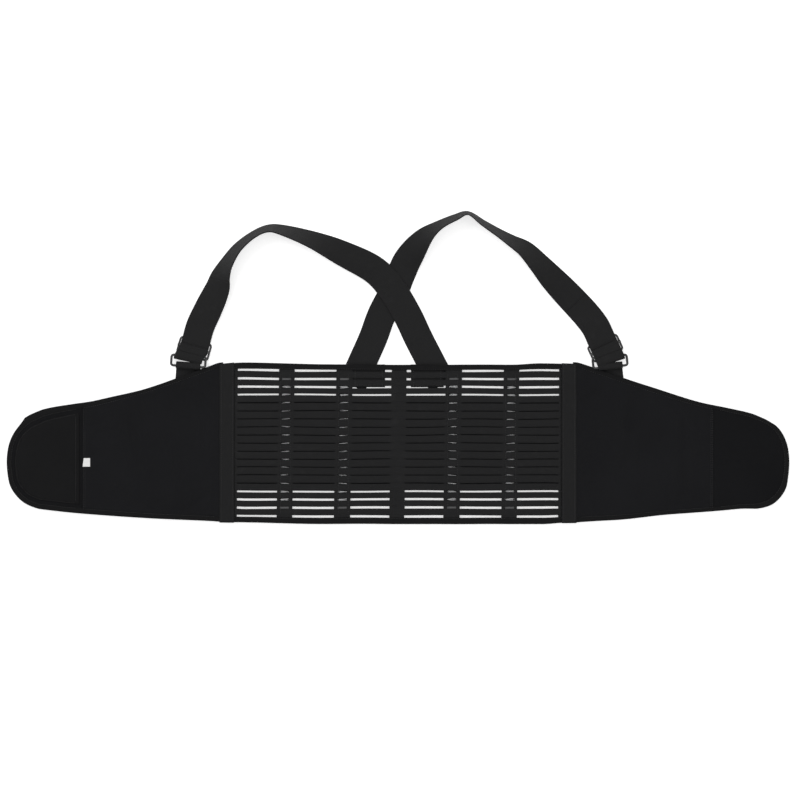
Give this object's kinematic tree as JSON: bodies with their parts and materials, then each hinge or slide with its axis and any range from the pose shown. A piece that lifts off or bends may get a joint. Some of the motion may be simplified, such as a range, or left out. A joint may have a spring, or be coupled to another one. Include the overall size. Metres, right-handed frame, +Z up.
{
  "type": "back brace",
  "caption": "Elastic lumbar support belt with ladder-elastic back, spring stays, side pulls, hook-and-loop closure and suspenders with sliders.",
  "frame": {"origin": "centre of the outer elastic band's underside, where the belt rests with its outer face down", "axes": "+X along the belt, +Y towards the suspenders, +Z up out of the belt's inner face"},
  "size_m": [1.094, 0.4349, 0.0404],
  "materials": {
    "ladder_elastic": "open ladder-knit elastic, matt black",
    "elastic_band": "ribbed woven elastic, matt black",
    "tape": "narrow woven tape, matt black",
    "foam_fabric": "foam-backed knit, matt black",
    "binding": "folded edge binding, matt black",
    "webbing": "elastic webbing, matt black",
    "hook_fabric": "moulded hook tape, black",
    "loop_fabric": "brushed loop fabric, black",
    "label": "bare white woven label",
    "spring_steel": "flattened spring wire",
    "cap_plastic": "moulded end cap",
    "buckle_plastic": "glossy black acetal"
  },
  "bodies": {
    "belt": {"back_panel": "ladder_elastic", "panel_binding_top": "binding", "panel_binding_bottom": "binding", "seam_tape_left": "tape", "seam_tape_right": "tape", "seam_core_left": "foam_fabric", "seam_core_right": "foam_fabric", "stay_1": "spring_steel", "stay_2": "spring_steel", "stay_3": "spring_steel", "stay_4": "spring_steel", "stay_cap_1_upper": "cap_plastic", "stay_cap_1_lower": "cap_plastic", "stay_cap_2_upper": "cap_plastic", "stay_cap_2_lower": "cap_plastic", "stay_cap_3_upper": "cap_plastic", "stay_cap_3_lower": "cap_plastic", "stay_cap_4_upper": "cap_plastic", "stay_cap_4_lower": "cap_plastic", "stay_channel_1": "tape", "stay_channel_2": "tape", "stay_channel_3": "tape", "stay_channel_4": "tape", "centre_tape": "tape", "lumbar_band": "elastic_band", "suspender_left": "webbing", "suspender_right": "webbing", "anchor_patch_left": "tape", "anchor_patch_right": "tape"},
    "left_wing": {"wing_left": "foam_fabric", "wing_binding_left_top": "binding", "wing_binding_left_foot": "binding", "ring_tab_left": "webbing", "label": "label"},
    "left_end": {"wing_end_left": "foam_fabric", "end_binding_left": "binding", "hook_pad_left": "hook_fabric"},
    "left_pull": {"side_pull_left": "elastic_band", "pull_tab_left": "hook_fabric"},
    "left_adjuster": {"ring_left": "buckle_plastic", "strap_loop_left": "webbing"},
    "left_slider": {"slider_left": "buckle_plastic", "loop_end_left": "webbing"},
    "right_wing": {"wing_right": "foam_fabric", "wing_binding_right_top": "binding", "wing_binding_right_foot": "binding", "ring_tab_right": "webbing"},
    "right_end": {"wing_end_right": "foam_fabric", "end_binding_right": "binding", "loop_pad_right": "loop_fabric"},
    "right_pull": {"side_pull_right": "elastic_band", "pull_tab_right": "hook_fabric"},
    "right_adjuster": {"ring_right": "buckle_plastic", "strap_loop_right": "webbing"},
    "right_slider": {"slider_right": "buckle_plastic", "loop_end_right": "webbing"}
  },
  "joints": [
    {"name": "left_wing_fold", "type": "hinge", "parent": "belt", "child": "left_wing", "pos_m": [-0.25, 0, 0.0077], "axis": [0, 1, 0], "range_deg": [0, 115]},
    {"name": "left_end_fold", "type": "hinge", "parent": "left_wing", "child": "left_end", "pos_m": [-0.441, 0, 0.0072], "axis": [0, 1, 0], "range_deg": [0, 90]},
    {"name": "left_pull_fold", "type": "hinge", "parent": "belt", "child": "left_pull", "pos_m": [-0.195, 0, 0], "axis": [0, 1, 0], "range_deg": [-110, 0]},
    {"name": "left_ring_lift", "type": "hinge", "parent": "left_wing", "child": "left_adjuster", "pos_m": [-0.2933, 0.10726, 0.0089], "axis": [0.9976, -0.0698, 0], "range_deg": [0, 30]},
    {"name": "left_slider_travel", "type": "slide", "parent": "left_adjuster", "child": "left_slider", "axis": [0.2756, 0.9613, 0], "range_m": [0, 0.025]},
    {"name": "right_wing_fold", "type": "hinge", "parent": "belt", "child": "right_wing", "pos_m": [0.25, 0, 0.0077], "axis": [0, -1, 0], "range_deg": [0, 115]},
    {"name": "right_end_fold", "type": "hinge", "parent": "right_wing", "child": "right_end", "pos_m": [0.441, 0, 0.0072], "axis": [0, -1, 0], "range_deg": [0, 90]},
    {"name": "right_pull_fold", "type": "hinge", "parent": "belt", "child": "right_pull", "pos_m": [0.195, 0, 0], "axis": [0, -1, 0], "range_deg": [-110, 0]},
    {"name": "right_ring_lift", "type": "hinge", "parent": "right_wing", "child": "right_adjuster", "pos_m": [0.29696, 0.10654, 0.0089], "axis": [0.9945, 0.1045, 0], "range_deg": [0, 30]},
    {"name": "right_slider_travel", "type": "slide", "parent": "right_adjuster", "child": "right_slider", "axis": [-0.4226, 0.9063, 0], "range_m": [0, 0.025]}
  ]
}
